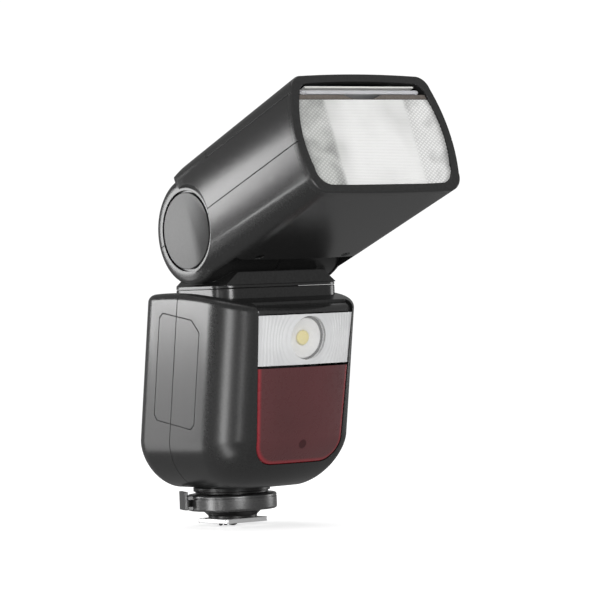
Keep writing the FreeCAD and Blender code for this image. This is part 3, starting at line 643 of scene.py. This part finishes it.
# ---- red panel ----------------------------------------------------------------------
RED_LOW, RED_HIGH = 22.0, 55.9
RED_CORNER = 8.0
RED_ROWS, RED_COLUMNS = 150, 150
RIM_LIGHT_FULL, RIM_LIGHT_GONE = 0.3, 1.5         # the painted light along the rim fades out between these
BEVEL = 0.7                      # width and depth of the rounding at its edge
BEVEL_DEEP = 0.45
SENSOR_Z = 28.7
SENSOR_R = 1.6
SENSOR_FADE = 0.2


def red_outline(z):
    """Half width of the red panel at height z, with its lower corners rounded."""
    half = panel_half(z)
    rise = z - RED_LOW
    if rise < RED_CORNER:
        half -= RED_CORNER - math.sqrt(max(0.0, RED_CORNER ** 2 - (RED_CORNER - rise) ** 2))
    return half


def red_edge(x, z):
    """Distance in from the panel's side and lower edges."""
    rise = z - RED_LOW
    corner_x = panel_half(z) - RED_CORNER
    if rise < RED_CORNER and abs(x) > corner_x:
        return max(0.0, RED_CORNER - math.hypot(abs(x) - corner_x, RED_CORNER - rise))
    return max(0.0, min(panel_half(z) - abs(x), rise))


def red_sink(x, z):
    """Depth of the red panel's face, which falls away at its edge."""
    return SKIN + BEVEL_DEEP * max(0.0, 1.0 - red_edge(x, z) / BEVEL) ** 2


def red_material():
    """Deep red plastic with painted light along its rim, and dark over the sensor."""
    n = Nodes("red_window")
    # painted light: a brighter red along the panel's rim
    rim = n.span(n.attribute("edge"), 1.0, 0.0, RIM_LIGHT_FULL, RIM_LIGHT_GONE)
    deep = n.tones(n.noise(30.0), (0.085, 0.026, 0.028), (0.105, 0.030, 0.033), NARROW_RANGE)
    rim_lit = n.mix("RGBA", rim, deep, (0.30, 0.022, 0.032, 1.0))
    sensor = n.within(n.attribute("spot"), SENSOR_R, SENSOR_FADE)
    n.into(n.mix("RGBA", sensor, rim_lit, (0.045, 0.006, 0.008, 1.0)), "Base Color")
    n.rough(n.noise(500.0), 0.24, 0.34)
    n.set(Coat_Weight=0.3, Coat_Roughness=0.15)
    return n.mat


def build_red_panel():
    """Plate whose rows are closer together at its rounded corners, and its columns at the sides."""
    low = RED_LOW + SKIN
    heights = [low + (RED_HIGH - low) * (t * t * (1.5 - 0.5 * t)) for t in steps(0.0, 1.0, RED_ROWS)]
    shares = [math.sin(s * math.pi / 2) for s in steps(-1.0, 1.0, RED_COLUMNS)]
    places = grid(heights, shares, lambda z: red_outline(z) - SKIN)
    front = [[behind_front(x, z, red_sink(x, z)) for x, z in row] for row in places]
    back = [[behind_front(x, z, PANEL_BACK) for x, z in row] for row in places]
    mesh = sheet("red_front_panel", front, back)
    mark(mesh, "edge", [red_edge(x, z) for row in places for x, z in row])
    mark(mesh, "spot", [math.hypot(x, z - SENSOR_Z) for row in places for x, z in row])
    piece = finish_piece("red_front_panel", mesh, [red_material()], "flash_body", 50.0)
    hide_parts("red_panel")


# ---- lamp behind the window: (radius, depth) profiles in upright coordinates ---------
LAMP_UP = 72.5
CUP_PROFILE = [
    (0.0, -34.3), (3.4, -34.3), (4.2, -34.5), (6.3, -35.5),
    (7.0, -35.6), (7.2, -35.4), (7.2, -33.4), (0.0, -33.4),
]
CHIP_PROFILE = [
    (0.0, -35.15), (2.1, -35.1), (2.5, -34.9), (2.55, -34.3),
    (2.9, -34.3), (2.9, -34.2), (0.0, -34.2),
]


def build_lamp():
    def place(x, t, z):
        return leaned(x, t, LAMP_UP + z)

    cup = turned("lamp_reflector", CUP_PROFILE, place)
    piece = finish_piece("lamp_reflector", cup, [CUP], "flash_body")
    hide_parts("lamp_cup")
    chip = turned("lamp_emitter", CHIP_PROFILE, place)
    piece = finish_piece("lamp_emitter", chip, [AMBER], "flash_body")
    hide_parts("lamp_chip")


# ---- tongue behind the parting line of the two body shells ---------------------------
SEAM_Y = 1.2                     # where the parting line, leaning back, would meet z = 0
TONGUE_LOW, TONGUE_HIGH = 15.0, 42.0
TONGUE_HALF = 2.0
TONGUE_THICK = 0.5
TONGUE_IN = 2.1                  # from the body's side, just inside its wall


def build_seam_tongue():
    """Strip inside the right-hand wall, so that the parting line doesn't show daylight."""
    front = []
    back = []
    for z in steps(TONGUE_LOW, TONGUE_HIGH, 40):
        x = BODY_HALF - rounding(z, SIDE_REACH) - TONGUE_IN
        seam = SEAM_Y - LEAN_SLOPE * z
        depths = steps(seam - TONGUE_HALF, seam + TONGUE_HALF, 8)
        front.append([Vector((x, y, z)) * MM for y in depths])
        back.append([Vector((x - TONGUE_THICK, y, z)) * MM for y in depths])
    finish_piece("seam_tongue", sheet("seam_tongue", front, back), [SOFT], "flash_body")


# ---- pull-out panel over the lens, in head coordinates -------------------------------
PULL_HALF = 24.0
PULL_FRONT, PULL_REAR = -76.4, -34.0
PULL_TOP, PULL_UNDER = 19.15, 18.15
PULL_RIB = 1.1
PULL_RIB_DEEP = 0.1
LIP_HALF = 25.0
LIP_Y, LIP_Z = -75.4, 18.95
LIP_R = 0.9


def build_wide_panel():
    """Diffuser plate with ribs that cross from face to face, and the lip that it is pulled by."""
    xs = [PULL_HALF * s for s in steps(-1.0, 1.0, 90)]
    ys = steps(PULL_FRONT, PULL_REAR, 40)
    front = [[on_head(x, y, PULL_TOP + PULL_RIB_DEEP * wave(x / PULL_RIB)) for x in xs] for y in ys]
    back = [[on_head(x, y, PULL_UNDER - PULL_RIB_DEEP * wave(y / PULL_RIB)) for x in xs] for y in ys]
    mesh = sheet("pull_out_panel", front, back)
    plate = finish_piece("pull_out_panel", mesh, [PULL_OUT], "wide_panel")
    line = [(x, LIP_Y, LIP_Z) for x in steps(-LIP_HALF, LIP_HALF, 60)]
    mesh = bar("pull_out_lip", line, LIP_R, on_head)
    lip = finish_piece("pull_out_lip", mesh, [PULL_OUT], "wide_panel")
    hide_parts("wide_panel")
    lip.parent = plate
    lip.matrix_parent_inverse = plate.matrix_world.inverted()


# ---- stage, camera and light --------------------------------------------------------
FLOOR_SIZE = 1.6
FLOOR_Z = -1.4 * MM              # just under the shoe contacts


def white_floor():
    n = Nodes("floor")
    n.into(n.tones(n.noise(3.0), grey(0.86), grey(0.88)), "Base Color")
    n.set(Roughness=1.0, Specular_IOR_Level=0.0, Emission_Color=(1, 1, 1, 1), Emission_Strength=0.6)
    return n.mat


def lay_floor():
    """White floor that lights and shadows nothing."""
    bpy.ops.mesh.primitive_plane_add(size=FLOOR_SIZE, location=(0, 0, FLOOR_Z))
    floor = bpy.context.object
    floor.name = "floor"
    floor.visible_diffuse = False
    floor.visible_glossy = False
    floor.visible_shadow = False
    floor.data.materials.append(white_floor())


# The photograph's camera, as solved from the photo.
CAMERA_AT = (-0.776418, -1.055466, 0.086354)
CAMERA_ANGLES = (37.53, 0.31, 2.13)        # turn from +Y towards +X, dip, roll
CAMERA_LENS = 217.2
CAMERA_SENSOR = 36.0


def place_camera():
    turn, dip, roll = (math.radians(angle) for angle in CAMERA_ANGLES)
    ahead = Vector((math.sin(turn) * math.cos(dip), math.cos(turn) * math.cos(dip), -math.sin(dip)))
    level = Vector((math.cos(turn), -math.sin(turn), 0.0))
    upward = level.cross(ahead)
    right = level * math.cos(roll) - upward * math.sin(roll)
    top = level * math.sin(roll) + upward * math.cos(roll)
    data = bpy.data.cameras.new("camera")
    data.lens = CAMERA_LENS
    data.sensor_width = CAMERA_SENSOR
    data.clip_start = 0.05
    data.clip_end = 100.0
    camera = bpy.data.objects.new("camera", data)
    bpy.context.scene.collection.objects.link(camera)
    aim = Matrix((right, top, -ahead)).transposed().to_4x4()
    camera.matrix_world = Matrix.Translation(CAMERA_AT) @ aim
    bpy.context.scene.camera = camera


def softbox(name, place, aim, size, power):
    """Rectangular light of a size (width, height) in metres and a power in watts."""
    data = bpy.data.lights.new(name, "AREA")
    data.shape = "RECTANGLE"
    data.size, data.size_y = size
    data.energy = power
    lamp = bpy.data.objects.new(name, data)
    bpy.context.scene.collection.objects.link(lamp)
    lamp.location = place
    lamp.rotation_mode = "QUATERNION"
    lamp.rotation_quaternion = (Vector(aim) - Vector(place)).to_track_quat("-Z", "Y")


def around(angle, distance, height):
    """Point at an angle from -X towards -Y."""
    a = math.radians(angle)
    return (-distance * math.cos(a), -distance * math.sin(a), height)


SIDE_Z = -0.065                  # middle of the upright lights, low enough to keep the hinge's top dark


def place_lights():
    """Satin highlights on the head and the body's left side, and soft light from the front."""
    side_aim = (0, 0, SIDE_Z)
    softbox("key_left", around(-49, 0.36, 0.1265), (-0.03, -0.04, 0.11), (0.13, 0.118), 0.45)
    softbox("key_low", around(-51.5, 0.36, -0.012), (-0.03, -0.04, 0.04), (0.10, 0.175), 0.14)
    softbox("side_left", around(-3, 0.9, SIDE_Z), side_aim, (0.17, 0.37), 1.7)
    softbox("side_low", around(-3, 0.7, -0.45), (0, 0, 0.03), (0.15, 0.5), 1.1)
    softbox("front_strip", around(23, 0.9, SIDE_Z), side_aim, (0.03, 0.37), 0.43)
    softbox("right", around(170, 0.8, 0.05), (0, 0, 0.03), (0.30, 0.2), 0.8)
    softbox("front", around(75, 1.2, 0.30), (0, 0, 0.08), (0.4, 0.5), 9.0)
    softbox("overhead", (0.0, 0.1, 1.6), (0, 0, 0), (1.6, 1.6), 12.0)


FILL = 0.28                      # the world's white, as light and as the camera sees it
BACKDROP = 1.05


def set_world():
    """White all round: dim as a light, and bright as the photograph's background."""
    world = bpy.data.worlds.new("studio")
    world.use_nodes = True
    tree = world.node_tree
    fill = tree.nodes["Background"]
    backdrop = tree.nodes.new("ShaderNodeBackground")
    for background, strength in ((fill, FILL), (backdrop, BACKDROP)):
        background.inputs["Color"].default_value = (1, 1, 1, 1)
        background.inputs["Strength"].default_value = strength
    path = tree.nodes.new("ShaderNodeLightPath")
    mix = tree.nodes.new("ShaderNodeMixShader")
    tree.links.new(path.outputs["Is Camera Ray"], mix.inputs["Fac"])
    tree.links.new(fill.outputs["Background"], mix.inputs[1])
    tree.links.new(backdrop.outputs["Background"], mix.inputs[2])
    tree.links.new(mix.outputs["Shader"], tree.nodes["World Output"].inputs["Surface"])
    bpy.context.scene.world = world
    bpy.context.scene.view_settings.view_transform = "Standard"


# ---- build --------------------------------------------------------------------------
dress_cad_nodes()
build_lens()
build_window()
build_red_panel()
build_lamp()
build_seam_tongue()
build_wide_panel()
lay_floor()
place_camera()
place_lights()
set_world()
